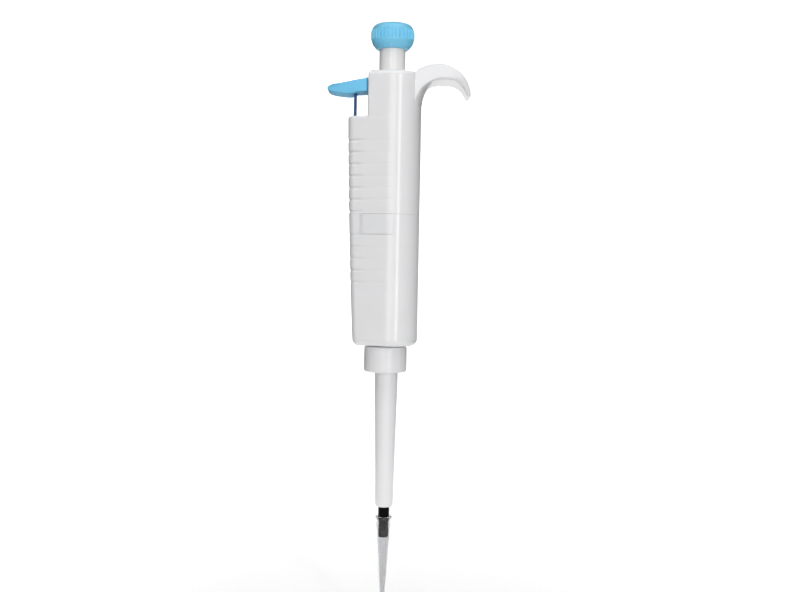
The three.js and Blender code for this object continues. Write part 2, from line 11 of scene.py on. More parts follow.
import bmesh
import bpy
import numpy as np
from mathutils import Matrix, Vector


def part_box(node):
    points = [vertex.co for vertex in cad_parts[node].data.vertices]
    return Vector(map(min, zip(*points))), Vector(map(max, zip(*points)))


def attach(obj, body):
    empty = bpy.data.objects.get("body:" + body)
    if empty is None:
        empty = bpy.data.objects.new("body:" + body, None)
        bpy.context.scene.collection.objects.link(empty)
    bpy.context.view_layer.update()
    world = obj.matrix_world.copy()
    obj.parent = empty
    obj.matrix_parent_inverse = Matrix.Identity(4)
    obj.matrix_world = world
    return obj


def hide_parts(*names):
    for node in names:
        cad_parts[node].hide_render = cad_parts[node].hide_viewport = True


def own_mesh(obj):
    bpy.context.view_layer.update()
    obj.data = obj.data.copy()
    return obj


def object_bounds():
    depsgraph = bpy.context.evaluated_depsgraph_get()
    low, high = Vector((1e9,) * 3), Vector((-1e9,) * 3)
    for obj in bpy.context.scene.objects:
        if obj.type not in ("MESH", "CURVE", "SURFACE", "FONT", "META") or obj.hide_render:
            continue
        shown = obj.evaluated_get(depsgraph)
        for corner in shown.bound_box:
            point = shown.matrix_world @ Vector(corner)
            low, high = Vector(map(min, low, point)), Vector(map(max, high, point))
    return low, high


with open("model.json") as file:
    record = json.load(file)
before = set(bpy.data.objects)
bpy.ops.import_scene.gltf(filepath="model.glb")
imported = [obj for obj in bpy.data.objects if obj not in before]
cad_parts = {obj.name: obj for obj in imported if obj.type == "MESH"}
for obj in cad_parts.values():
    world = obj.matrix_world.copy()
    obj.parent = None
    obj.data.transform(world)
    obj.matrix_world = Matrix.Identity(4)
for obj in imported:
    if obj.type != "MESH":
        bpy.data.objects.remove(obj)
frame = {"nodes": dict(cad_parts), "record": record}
CAD_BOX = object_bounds()

# ---------------------------------------------------------------- where things are
MM = 0.001
button_low, button_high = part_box("push_button")
AXIS_X = (button_low.x + button_high.x) / 2
BASE_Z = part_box("tip_cone")[0].z


def to_row(points):
    """Working millimetres turned into metres in the row's frame."""
    p = np.array(points, float) * MM
    p[:, 0] += AXIS_X
    p[:, 2] += BASE_Z
    return p


def level(z):
    """A height in the row's frame, in millimetres above the cone's lower end."""
    return (z - BASE_Z) / MM


# ---------------------------------------------------------------- driving dimensions, mm
HANDLE_BOTTOM = level(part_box("handle_lower_shell")[0].z)
HANDLE_TOP = level(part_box("handle_upper_shell")[1].z)
SEAM = level(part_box("handle_upper_shell")[0].z)
STEP = 190.6  # where the wide grip ends and the narrow upper housing begins
WALL = 1.8
FLOOR = 3.0
GAP = 0.3  # running clearance between pieces
SEAM_GAP = 0.07  # hairline between the two handle shells
REAR = (1.5, 0.0, 12.2)  # x, y and radius of the round back
FRONT = (-15.4, 3.2, 4.0)  # x, y and radius of each front corner at the step
HEAD_FRONT = -10.5
TAPER = (0.0199, 0.000168)  # how the front edge draws in below the step, linear and square
BOTTOM_ROUND = 3.2
STEP_ROUND = 1.4
HEAD_ROUND = 2.4
GROOVE_PITCH = 5.32
GROOVE_FADE = 2.5  # length over which a groove runs out towards the rear
GROOVE_ON_FLAT = 0.14  # its depth on the flat side, as a share of that on the front corner
CORNER = {"starts": -12, "length": 4}  # in x, where the flat side turns into the front corner
UPPER_GROOVES = {"count": 7, "top": 179.4, "rear": 3.0, "depth": 0.4}
LOWER_GROOVES = {"count": 5, "top": 137.0, "rear": 1.5, "depth": 0.26}
PANEL = {
    "low": 137.2,
    "high": SEAM - SEAM_GAP,
    "front": -13.3,
    "rear": 2.0,
    "depth": 0.55,  # of the pocket for the label
    "slot": 1.35,  # width of the slot in front of the label
    "deep": 1.3,  # depth of that slot
}
NEAR_SIDE = -20  # a y beyond the handle's near side
WINDOW = {"low": 159.0, "high": 180.6, "width": 6.2, "ledge": 0.8, "depth": 1.0}
STRIP = {"x": -16.45, "half_thick": 0.55, "half_wide": 3.5}  # the ejector strip under the lever
TONGUE = {"half_wide": 1.5, "low": 202.2, "high": 207.2}  # of the lever, into the upper housing
BUTTON_RIBS = 36
HOOK_LAND = 207.0  # underside of the finger hook
HOOK_END = {"under": (33.65, 201.3), "over": (35.7, 201.0)}
HOOK_END_WIDE_AT = 34.9  # the end is as wide as the hook is at this x


# ---------------------------------------------------------------- materials
GRAIN_DEPTH = 0.0000012  # metres
MOTTLE = {"fineness": 0.12, "detail": 4}  # fineness as a share of the material's scale
GLOSS = {"fineness": 0.5, "detail": 6, "spread": 0.12}
GRAIN = {"fineness": 4, "detail": 3}
BLACK = (0, 0, 0, 1)
WHITE = (1, 1, 1, 1)


def material(name, colour, vary, roughness, bump, scale, wear_and_highlight=0.0, inputs=None):
    """Moulded or turned surface: mottled colour, uneven gloss, fine bump and convex edges painted lighter,
    partly as rubbed wear and partly as painted highlight.
    """
    m = bpy.data.materials.new(name)
    m.use_nodes = True
    nodes, links = m.node_tree.nodes, m.node_tree.links
    shader = nodes["Principled BSDF"]
    for key, value in (inputs or {}).items():
        shader.inputs[key].default_value = value
    where = nodes.new("ShaderNodeTexCoord").outputs["Object"]

    def noise(kind):
        n = nodes.new("ShaderNodeTexNoise")
        n.inputs["Scale"].default_value = scale * kind["fineness"]
        n.inputs["Detail"].default_value = kind["detail"]
        links.new(where, n.inputs["Vector"])
        return n.outputs["Fac"]

    def ramp(source, low, high, start=0.3, end=0.7):
        r = nodes.new("ShaderNodeValToRGB")
        r.color_ramp.elements[0].position = start
        r.color_ramp.elements[1].position = end
        r.color_ramp.elements[0].color = low
        r.color_ramp.elements[1].color = high
        links.new(source, r.inputs["Fac"])
        return r.outputs["Color"]

    dark = tuple(c * (1 - vary) for c in colour) + (1,)
    light = tuple(min(1, c * (1 + vary)) for c in colour) + (1,)
    tint = ramp(noise(MOTTLE), dark, light)
    # Convex edges painted lighter: partly rubbed wear, partly a painted highlight along ridges and groove
    # edges.
    if wear_and_highlight:
        pointiness = nodes.new("ShaderNodeNewGeometry").outputs["Pointiness"]
        edge = ramp(pointiness, BLACK, WHITE, 0.5, 0.62)
        mix = nodes.new("ShaderNodeMix")
        mix.data_type = "RGBA"
        share = nodes.new("ShaderNodeMath")
        share.operation = "MULTIPLY"
        share.inputs[1].default_value = wear_and_highlight
        links.new(edge, share.inputs[0])
        links.new(share.outputs[0], mix.inputs["Factor"])
        links.new(tint, mix.inputs["A"])
        mix.inputs["B"].default_value = tuple(min(1, c * 1.25 + 0.06) for c in colour) + (1,)
        tint = mix.outputs["Result"]
    links.new(tint, shader.inputs["Base Color"])
    gloss = nodes.new("ShaderNodeMapRange")
    gloss.inputs["To Min"].default_value = roughness * (1 - GLOSS["spread"])
    gloss.inputs["To Max"].default_value = roughness * (1 + GLOSS["spread"])
    links.new(noise(GLOSS), gloss.inputs["Value"])
    links.new(gloss.outputs["Result"], shader.inputs["Roughness"])
    grain = nodes.new("ShaderNodeBump")
    grain.inputs["Strength"].default_value = bump
    grain.inputs["Distance"].default_value = GRAIN_DEPTH
    links.new(noise(GRAIN), grain.inputs["Height"])
    links.new(grain.outputs["Normal"], shader.inputs["Normal"])
    return m


METAL = {"Metallic": 1.0}
CLEAR_TIP = {"Transmission Weight": 0.98, "IOR": 1.33}
CLEAR_WINDOW = {"Transmission Weight": 0.95, "IOR": 1.49}
# Colour, mottling, roughness, bump, fineness of grain, lighter edges (rubbed wear and painted highlight) and
# further shader inputs.
LOOKS = {
    "white_shell": ((0.82, 0.82, 0.83), 0.01, 0.22, 0.1, 900, 0.06),
    "white_panel": ((0.80, 0.803, 0.815), 0.01, 0.3, 0.1, 900, 0.06),
    "white_neck": ((0.85, 0.845, 0.83), 0.012, 0.26, 0.1, 900, 0.06),
    "white_sleeve": ((0.80, 0.80, 0.81), 0.005, 0.3, 0.03, 900, 0.03),
    "white_shaft": ((0.76, 0.76, 0.75), 0.02, 0.35, 0.1, 900, 0.2),
    # The button's strong edge lightening paints the highlights along its ribs: painted highlight.
    "blue_button": ((0.22, 0.65, 0.92), 0.03, 0.34, 0.15, 900, 0.7, {"Specular IOR Level": 0.3}),
    "blue_lever": ((0.18, 0.56, 0.84), 0.03, 0.5, 0.15, 900, 0.35, {"Specular IOR Level": 0.03}),
    # The lever's blue darkened for the ejector strip, to stand for the shade it sits in under the lever:
    # painted shade.
    "deep_blue": ((0.01, 0.085, 0.24), 0.08, 0.45, 0.15, 900, 0.1, {"Specular IOR Level": 0.2}),
    "black_cone": ((0.002, 0.002, 0.0025), 0.2, 0.45, 0.15, 900, 0.01, {"Specular IOR Level": 0.05}),
    "counter_black": ((0.012, 0.012, 0.013), 0.2, 0.45, 0.2, 900, 0.2),
    "acetal": ((0.72, 0.70, 0.64), 0.03, 0.42, 0.2, 900, 0.2),
    "ptfe": ((0.84, 0.84, 0.82), 0.02, 0.5, 0.1, 900, 0.1),
    "seal_rubber": ((0.015, 0.015, 0.016), 0.25, 0.75, 0.4, 1200),
    "steel": ((0.56, 0.57, 0.58), 0.06, 0.26, 0.25, 1500, 0.3, METAL),
    "spring_steel": ((0.50, 0.51, 0.53), 0.08, 0.3, 0.2, 1500, 0.3, METAL),
    "brass": ((0.70, 0.50, 0.20), 0.08, 0.3, 0.25, 1500, 0.3, METAL),
    "clear_tip": ((0.72, 0.725, 0.735), 0.02, 0.05, 0.05, 700, 0, CLEAR_TIP),
    "clear_window": ((0.93, 0.95, 0.96), 0.01, 0.06, 0.03, 700, 0, CLEAR_WINDOW),
    "digit_white": ((0.85, 0.85, 0.84), 0.03, 0.5, 0.15, 900),
}
FINISHES = {name: material(name, *look) for name, look in LOOKS.items()}


# ---------------------------------------------------------------- mesh helpers
ON_AXIS = 1e-9  # millimetres; a smaller radius is on the axis
SAME_POINT = 1e-7  # metres
NO_LENGTH = 1e-8  # metres


def solid(name, points, faces):
    """A new mesh object from points in working millimetres, its faces turned outwards."""
    mesh = bpy.data.meshes.new(name)
    mesh.from_pydata(to_row(points).tolist(), [], [tuple(map(int, f)) for f in faces])
    b = bmesh.new()
    b.from_mesh(mesh)
    bmesh.ops.remove_doubles(b, verts=b.verts, dist=SAME_POINT)
    bmesh.ops.recalc_face_normals(b, faces=b.faces)
    b.to_mesh(mesh)
    b.free()
    o = bpy.data.objects.new(name, mesh)
    bpy.context.scene.collection.objects.link(o)
    return o


def grid(rings):
    """Closed solid through rings of equal length, with a flat fan at each end."""
    rings = np.array(rings, float)
    count, size = rings.shape[:2]
    faces = []
    for i in range(count - 1):
        for k in range(size):
            a, b = i * size + k, i * size + (k + 1) % size
            faces.append((a, b, b + size, a + size))
    points = rings.reshape(-1, 3).tolist()
    for end in (0, count - 1):
        points.append(rings[end].mean(0).tolist())
        for k in range(size):
            faces.append((end * size + k, end * size + (k + 1) % size, len(points) - 1))
    return points, faces


def rounded(corners, radius, steps=4):
    """The closed outline with each corner replaced by a short curve."""
    c = [np.array(p, float) for p in corners]
    out = []
    for i, here in enumerate(c):
        before, after = c[i - 1] - here, c[(i + 1) % len(c)] - here
        if here[0] < ON_AXIS:
            out.append(here)
            continue
        reach = min(radius, 0.4 * np.linalg.norm(before), 0.4 * np.linalg.norm(after))
        a = here + before / np.linalg.norm(before) * reach
        b = here + after / np.linalg.norm(after) * reach
        for t in np.linspace(0, 1, steps + 1):
            out.append((1 - t) ** 2 * a + 2 * t * (1 - t) * here + t * t * b)
    return out


def evened(outline, longest=2.5):
    """The same closed outline with its long edges divided, for even faces on a tall piece."""
    out = []
    for i, here in enumerate(outline):
        there = outline[(i + 1) % len(outline)]
        parts = 1
        if here[0] > ON_AXIS or there[0] > ON_AXIS:
            parts = max(1, math.ceil(np.linalg.norm(there - here) / longest))
        out += [here + (there - here) * k / parts for k in range(parts)]
    return out


def lathe(name, corners, radius=0.2, segments=96, x=0.0):
    """A turned solid from [radius, z] corners in order; corners on the axis close it."""
    outline = evened(rounded(corners, radius))
    size = len(outline)
    points, faces = [], []
    for k in range(segments):
        a = 2 * math.pi * k / segments
        points += [(x + r * math.cos(a), r * math.sin(a), z) for r, z in outline]
    for k in range(segments):
        here, there = k * size, (k + 1) % segments * size
        for i in range(size):
            j = (i + 1) % size
            if outline[i][0] < ON_AXIS and outline[j][0] < ON_AXIS:
                continue
            faces.append((here + i, here + j, there + j, there + i))
    o = solid(name, points, faces)
    b = bmesh.new()
    b.from_mesh(o.data)
    bmesh.ops.dissolve_degenerate(b, edges=b.edges, dist=NO_LENGTH)
    b.to_mesh(o.data)
    b.free()
    return o


def cylinder(radius, low, high):
    """The corners of a plain disc or rod, for lathe."""
    return [(0, low), (radius, low), (radius, high), (0, high)]


def bore(radius, low, high):
    """A round tool on the plunger axis."""
    return lathe("tool", cylinder(radius, low, high), 0)


def box(x0, x1, y0, y1, z0, z1, turn=0.0):
    """A plain block, turned about the plunger axis if asked."""
    corner = [(x, y, z) for x in (x0, x1) for y in (y0, y1) for z in (z0, z1)]
    c, s = math.cos(turn), math.sin(turn)
    points = [(c * x - s * y, s * x + c * y, z) for x, y, z in corner]
    faces = [(0, 1, 3, 2), (4, 6, 7, 5), (0, 4, 5, 1), (2, 3, 7, 6), (0, 2, 6, 4), (1, 5, 7, 3)]
    return solid("tool", points, faces)


def evaluated_mesh(o):
    """A copy of an object's mesh with its modifiers applied."""
    bpy.context.view_layer.update()
    return bpy.data.meshes.new_from_object(o.evaluated_get(bpy.context.evaluated_depsgraph_get()))


def combine(base, operation, *tools):
    """Applies one boolean for each tool, and removes the tools."""
    for tool in tools:
        step = base.modifiers.new("combine", "BOOLEAN")
        step.operation = operation
        step.solver = "MANIFOLD"
        step.object = tool
        done = evaluated_mesh(base)
        base.modifiers.clear()
        base.data = done
        bpy.data.objects.remove(tool)
    return base


def finish_piece(o, body, finish, *nodes, sharp=32):
    """Shades, paints and attaches a piece, which stands for the CAD nodes given.

    The counter's digits stand for no node and count as part of the black drums they are on.
    """
    o.data.materials.clear()
    o.data.materials.append(FINISHES[finish])
    o.data.polygons.foreach_set("use_smooth", [True] * len(o.data.polygons))
    o.data.set_sharp_from_angle(angle=math.radians(sharp))
    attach(o, body)
    if nodes:
        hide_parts(*nodes)
    return o


# ---------------------------------------------------------------- the handle's section
def side_angle(c, d):
    """Direction in which the belt faces along its straight run from circle c to circle d."""
    span = math.hypot(d[0] - c[0], d[1] - c[1])
    return math.atan2(d[1] - c[1], d[0] - c[0]) - math.acos((c[2] - d[2]) / span)


def belt(rear, front, arc_step=math.radians(4), side_parts=44, front_parts=8):
    """Points and outward normals of the belt round the back and two mirrored front corners."""
    circles = [rear, front, (front[0], -front[1], front[2])]
    facing = [side_angle(c, d) for c, d in zip(circles, circles[1:] + circles[:1])]
    out = []
    for i, (x, y, r) in enumerate(circles):
        turn = (facing[i] - facing[i - 1]) % (2 * math.pi)
        count = max(6, math.ceil(turn / arc_step))
        for a in facing[i - 1] + turn * np.arange(count + 1) / count:
            out.append((x + r * math.cos(a), y + r * math.sin(a), math.cos(a), math.sin(a)))
        next_x, next_y, next_r = circles[(i + 1) % 3]
        normal = np.array([math.cos(facing[i]), math.sin(facing[i])])
        start = np.array([x, y]) + r * normal
        end = np.array([next_x, next_y]) + next_r * normal
        parts = front_parts if i == 1 else side_parts
        for k in range(1, parts):
            out.append((*(start + (end - start) * k / parts), *normal))
    return np.array(out)


def head_corner(radius=1.3):
    """A small front corner of the upper housing, tangent to the handle's flat side."""
    a = side_angle(REAR, FRONT)
    x = HEAD_FRONT + radius
    y = (REAR[0] * math.cos(a) + REAR[2] - radius - x * math.cos(a)) / math.sin(a)
    return x, y, radius


HANDLE_BELT = belt(REAR, FRONT)
HEAD_BELT = belt(REAR, head_corner())


def front_share(z):
    """How far forward the front edge reaches at a height, as a share of its reach at the step."""
    reach = FRONT[2] - FRONT[0]
    drop = max(0.0, STEP - z)
    return (reach - TAPER[0] * drop - TAPER[1] * drop * drop) / reach


def groove_depth(z, x, g):
    """How deep the grip grooves are at a height, fading out towards the rear."""
    middles = g["top"] - GROOVE_PITCH * np.arange(g["count"])
    off = np.abs(z - middles).min()
    if off >= 1:
        return np.zeros_like(x)
    fade = np.clip((g["rear"] - x) / GROOVE_FADE, 0, 1)
    corner = np.clip((CORNER["starts"] - x) / CORNER["length"], 0, 1)
    profile = 0.5 * (1 + math.cos(math.pi * off)) * fade * fade * (3 - 2 * fade)
    return g["depth"] * profile * (GROOVE_ON_FLAT + (1 - GROOVE_ON_FLAT) * corner)


def section(z, inset, outline=HANDLE_BELT, grooves=None):
    """The handle's outline at a height, drawn in by an inset and by its grooves."""
    x, y, nx, ny = outline.T
    d = inset + (groove_depth(z, x, grooves) if grooves else 0)
    px, py = x - nx * d, y - ny * d
    return np.stack([np.where(px < 0, px * front_share(z), px), py, np.full_like(px, z)], 1)


def loft(name, inset, low, high, foot=0.0, crown=0.0, outline=HANDLE_BELT, grooves=None):
    """The handle's form shrunk by an inset, with ends rounded by foot and crown."""
    quarter = np.linspace(0, math.pi / 2, 9)
    step = 0.25 if grooves else 2.0
    rings = []

    def curl(end, size, a):
        """One ring of a rounded end; size is below 0 at the foot."""
        rings.append(section(end - size * (1 - math.sin(a)), inset + abs(size) * (1 - math.cos(a)), outline))

    if foot:
        for a in quarter[:0:-1]:
            curl(low, -foot, a)
    rings += [section(z, inset, outline, grooves) for z in np.arange(low + foot, high - crown - 0.05, step)]
    for a in quarter if crown else [0]:
        curl(high, crown, a)
    return solid(name, *grid(rings))


def skin(low, high, outer, inner, x0, x1, y1=0):
    """A thin slice of the handle's near side between two depths, cut off by a block."""
    slab = combine(loft("skin", outer, low, high), "DIFFERENCE", loft("tool", inner, low - 1, high + 1))
    return combine(slab, "INTERSECT", box(x0, x1, NEAR_SIDE, y1, low, high))


# ---------------------------------------------------------------- handle
WINDOW_TURN = side_angle(REAR, FRONT) - math.pi / 2
WINDOW_FACE = REAR[2] - REAR[0] * math.sin(WINDOW_TURN)


def on_window(width, deep, shallow, low, high):
    """A block between two depths under the far side, where the volume window is."""
    return box(-width / 2, width / 2, WINDOW_FACE - deep, WINDOW_FACE - shallow, low, high, WINDOW_TURN)


def strip_cut(clearance, low, high):
    """Room for the ejector strip, with a clearance all round it."""
    thick, wide = STRIP["half_thick"] + clearance, STRIP["half_wide"] + clearance
    return box(STRIP["x"] - thick, STRIP["x"] + thick, -wide, wide, low, high)


def bar_cut(low, high):
    """Room for the ejector bar, which runs down from the strip to the collar."""
    return box(-9.0, -6.4, -1.1, 1.1, low, high)


def upper_shell():
    body = loft("handle_upper", 0, SEAM, STEP, crown=STEP_ROUND, grooves=UPPER_GROOVES)
    combine(body, "UNION", loft("head", 0, STEP - 4, HANDLE_TOP, crown=HEAD_ROUND, outline=HEAD_BELT))
    ledge = WINDOW["ledge"]
    tongue = TONGUE["half_wide"] + GAP
    tongue_slot = (HEAD_FRONT - 1, HEAD_FRONT + WALL + 1, -tongue, tongue, 192.4, 207.6)
    hook_slot = (10, 20, -3.3, 3.3, 198.6, 206.4)
    combine(
        body,
        "DIFFERENCE",
        loft("tool", WALL, SEAM - 4, STEP - WALL),
        loft("tool", WALL, STEP - 8, HANDLE_TOP - WALL, outline=HEAD_BELT),
        strip_cut(GAP, STEP - WALL - 1, STEP + 1),
        box(*tongue_slot),
        bore(6.2, HANDLE_TOP - 3, HANDLE_TOP + 1),
        box(*hook_slot),
        on_window(WINDOW["width"], WINDOW["depth"], -2, WINDOW["low"], WINDOW["high"]),
        on_window(WINDOW["width"] - 2 * ledge, 4, -2, WINDOW["low"] + ledge, WINDOW["high"] - ledge),
    )
    return finish_piece(body, "handle", "white_shell", "handle_upper_shell")


def lower_shell():
    body = loft("handle_lower", 0, HANDLE_BOTTOM, SEAM - SEAM_GAP, foot=BOTTOM_ROUND, grooves=LOWER_GROOVES)
    combine(body, "UNION", loft("spigot", WALL + GAP, SEAM - 3, SEAM + 4))
    front, behind = PANEL["front"], PANEL["front"] + PANEL["slot"]
    pocket = skin(PANEL["low"], SEAM + 1, -0.5, PANEL["depth"], front, PANEL["rear"])
    slot = skin(PANEL["low"] + 0.6, SEAM - 0.8, -0.5, PANEL["deep"], front, behind)
    combine(
        body,
        "DIFFERENCE",
        loft("tool", WALL, HANDLE_BOTTOM + FLOOR, SEAM - 5),
        loft("tool", WALL + GAP + 1, HANDLE_BOTTOM + FLOOR + 1, SEAM + 8),
        bore(4.05, 80, 95),
        bar_cut(80, 95),
        pocket,
        slot,
    )
    return finish_piece(body, "handle", "white_shell", "handle_lower_shell")


def grip_label():
    front, rear = PANEL["front"] + PANEL["slot"], PANEL["rear"] - 0.04
    low, high = PANEL["low"] + GAP, PANEL["high"] - 0.05
    plate = skin(low, high, 0.03, PANEL["depth"] - 0.1, front, rear, y1=-2)
    plate.name = "grip_panel"
    return finish_piece(plate, "handle", "white_panel", "grip_label")


def window_lens():
    lens = on_window(WINDOW["width"] - 2 * GAP, 0.85, 0.25, WINDOW["low"] + GAP, WINDOW["high"] - GAP)
    lens.name = "window_lens"
    edge = lens.modifiers.new("edge", "BEVEL")
    edge.width = 0.2 * MM
    edge.segments = 3
    return finish_piece(lens, "handle", "clear_window", "volume_window")


# ---------------------------------------------------------------- finger hook
def bezier(a, b, c, d, t):
    """A point on the cubic curve from a to d."""
    a, b, c, d = (np.array(p, float) for p in (a, b, c, d))
    return (1 - t) ** 3 * a + 3 * t * (1 - t) ** 2 * b + 3 * t * t * (1 - t) * c + t**3 * d


def along(points, count):
    """Evenly spaced points along a polyline."""
    points = np.array(points)
    run = np.concatenate([[0], np.cumsum(np.linalg.norm(np.diff(points, axis=0), axis=1))])
    at = np.linspace(0, run[-1], count)
    return np.stack([np.interp(at, run, points[:, i]) for i in (0, 1)], 1)


def hook_half_width(x):
    """The hook widens from its root and narrows again towards its nose."""
    root_x, wide_x, nose_x, end_x = 10, 26.6, 29, 35.6
    root, widening, narrowing = 8.4, 1.6, 4
    t = np.clip((x - root_x) / (wide_x - root_x), 0, 1)
    nose = np.clip((x - nose_x) / (end_x - nose_x), 0, 1)
    return root + widening * t * t * (3 - 2 * t) - narrowing * nose * nose


def round_rectangle(half_width, half_height, radius):
    """Points round a rectangle in its own plane, the same number whatever its size."""
    radius = min(radius, 0.92 * half_width, 0.92 * half_height)
    w, h = half_width - radius, half_height - radius
    out = []
    for k, (sx, sy) in enumerate(((1, 1), (-1, 1), (-1, -1), (1, -1))):
        for a in np.linspace(k, k + 1, 7) * math.pi / 2:
            out.append((sx * w + radius * math.cos(a), sy * h + radius * math.sin(a)))
        here, there = out[-1], ((-w, h + radius), (-w - radius, -h), (w, -h - radius), (w + radius, h))[k]
        for t in np.arange(1, 8) / 8:
            out.append((here[0] + (there[0] - here[0]) * t, here[1] + (there[1] - here[1]) * t))
    return out


def hook_ring(middle, half, width):
    """One section of the hook, drawn back at its sides where it meets the round handle."""
    height = np.linalg.norm(half)
    up = half / height
    arch_x = 21.6
    ring = []
    for y, v in round_rectangle(width, height, 1.7):
        x, z = middle + up * v
        share = np.clip((arch_x - x) / (arch_x - REAR[0] - REAR[2]), 0, 1) if z < HOOK_LAND else 0
        fall = REAR[2] - math.sqrt(REAR[2] ** 2 - y * y)
        ring.append((x - fall * share * share, y, z))
    return ring


def hook_edges():
    """The underside and the top of the hook, seen square to the handle's side."""
    s = np.linspace(0, 1, 40)
    foot = (13.75, 196), (14.3, 202), (17, HOOK_LAND), (21.6, HOOK_LAND)
    drop = (26.6, HOOK_LAND), (29.2, HOOK_LAND), (31.6, 205.2), HOOK_END["under"]
    rise = (9.5, 210.6), (13.5, 213.2), (16.5, 214.4), (21, 214.4)
    back = (21, 214.4), (28.8, 214.4), (34.9, 208.2), HOOK_END["over"]
    under = [(9, 196)] + [bezier(*foot, t) for t in s] + [bezier(*drop, t) for t in s]
    over = [(9, 210.2)] + [bezier(*rise, t) for t in s] + [bezier(*back, t) for t in s]
    return under, over


def finger_hook():
    stations = 70
    rings = []
    for low, high in zip(*(along(edge, stations) for edge in hook_edges())):
        middle = (low + high) / 2
        rings.append(hook_ring(middle, (high - low) / 2, hook_half_width(middle[0])))
    low, high = np.array(HOOK_END["under"]), np.array(HOOK_END["over"])
    end, half = (low + high) / 2, (high - low) / 2
    for a in np.linspace(0, math.pi / 2, 7)[1:-1]:
        size = math.cos(a)
        drop = np.array((-0.1, -0.9)) * math.sin(a)
        width = hook_half_width(HOOK_END_WIDE_AT) - 0.8 * (1 - size)
        rings.append(hook_ring(end + drop, half * size, width))
    arm = solid("finger_hook_arm", *grid(rings))
    combine(arm, "DIFFERENCE", loft("tool", -0.12, 180, 225))
    return finish_piece(arm, "handle", "white_shell", "finger_hook", sharp=40)


# ---------------------------------------------------------------- button and plunger
def push_button():
    profile = [
        (6.3, 221.5), (7.25, 221.8), (8.1, 222.7), (8.8, 223.6), (9.25, 224.5), (9.5, 225.4), (9.58, 226.3),
        (9.6, 227.3), (9.6, 230.0), (9.4, 230.9), (9.1, 231.6), (8.6, 232.3), (7.6, 232.88),
    ]
    band_low, band_high, valley, rib_height = 225.4, 230.4, 0.3, 0.64
    points_per_rib, parts = 14, 4
    segments = BUTTON_RIBS * points_per_rib
    a = 2 * math.pi * np.arange(segments) / segments
    rib = np.clip(np.cos(a * BUTTON_RIBS) * 1.8 - 0.6, 0, 1)
    z = np.array([p[1] for p in profile])
    heights = [z[i] + (z[i + 1] - z[i]) * k / parts for i in range(len(z) - 1) for k in range(parts)]
    heights = np.array(heights + [z[-1]])
    radii = np.interp(heights, z, [p[0] for p in profile])
    band = np.clip(heights - band_low, 0, 1) * np.clip((band_high - heights) / 0.7, 0, 1)
    rings = []
    for height, radius, share in zip(heights, radii, band):
        r = radius + share * (rib_height * rib - valley)
        rings.append(np.stack([r * np.cos(a), r * np.sin(a), np.full_like(a, height)], 1))
    body = solid("volume_button", *grid(rings))
    combine(
        body,
        "DIFFERENCE",
        bore(6.15, 220, 225.2),
        bore(2.15, 225, 230.4),
        bore(6.6, 231.9, 234),
    )
    return finish_piece(body, "button", "blue_button", "push_button", sharp=40)


def plain_turnings():
    """Turned pieces: name, body, finish, CAD node, edge radius and corners."""
    flange = HANDLE_TOP - WALL - 5.4 - 2 * GAP
    pieces = [
        ("button_cap_disc", "button", "blue_button", "button_cap", 0.25, cylinder(6.35, 232.15, 232.85)),
        ("plunger_neck", "plunger", "white_neck", "plunger_sleeve", 0.25,
         [(7.4, flange - 2), (7.4, flange), (5.95, flange), (5.95, 225), (2.1, 225), (2.1, 219),
          (4.2, 219), (4.2, flange - 2)]),
        ("ejector_tube", "ejector", "white_sleeve", "ejector_sleeve", 0.3,
         [(3.5, 13.9), (4, 14.9), (5.25, 75), (5.25, 80), (5.75, 80), (5.75, 82),
          (4.45, 82), (4.45, 75), (3.2, 13.9)]),
        ("black_tip_cone", "handle", "black_cone", "tip_cone", 0.15,
         [(2.1, 0), (2.3, 0.4), (2.38, 3.6), (2.22, 4), (2.26, 7.2), (2.44, 7.6), (2.5, 10), (2.5, 14),
          (1.65, 14), (1.65, 24.6), (0.8, 24.6), (0.8, 0)]),
        ("disposable_tip", "tip", "clear_tip", "pipette_tip", 0.1,
         [(0.42, -41.2), (1.4, -22.6), (2.45, -4), (2.8, -1), (3, 3), (3.15, 3.6), (3.4, 8.2), (3.65, 8.5),
          (3.65, 9.3), (2.66, 9.3), (2.58, 8.8), (2.42, 0), (2.02, -4), (1, -22.6), (0.22, -41.2)]),
    ]
    for name, body, finish, node, radius, corners in pieces:
        finish_piece(lathe(name, corners, radius), body, finish, node)


def ejector_collar():
    """A disc set a little forward of the plunger axis, bored for the tube and the bar."""
    body = lathe("collar", cylinder(9.7, 75.2, HANDLE_BOTTOM - GAP), 1.2, x=-0.6)
    combine(body, "DIFFERENCE", bore(5.55, 70, 90), bore(6.05, 79.7, 90), bar_cut(80.1, 90))
    return finish_piece(body, "ejector", "white_sleeve", "ejector_collar")


# ---------------------------------------------------------------- ejector lever
def lever_outline():
    """The lever seen square to the handle's side: underside, nose and ridged top."""
    inner = HEAD_FRONT - GAP
    belly = (-15.4, 201.6), (-17, 200.4), (-19.5, 200.4), (-22, 200.7)
    reach = (-22, 200.7), (-25, 201), (-27, 201.3), (-28.4, 202)
    nose = (-28.4, 202), (-29.3, 202.6), (-29.3, 203.9), (-28.1, 204.2)
    outline = [(inner, 201.9), belly[0]]
    for curve in (belly, reach, nose):
        outline += [tuple(bezier(*curve, t)) for t in np.linspace(0, 1, 9)[1:]]
    ridges, per_ridge, length, rise = 6, 6, 14.2, 2.9
    for t in np.arange(ridges * per_ridge + 1) / (ridges * per_ridge):
        wave = 0.3 * abs(math.sin(math.pi * ridges * t)) - 0.1
        outline.append((-27.6 + length * t, 204.45 + rise * t + wave))
    return outline + [(inner, 208.1)]


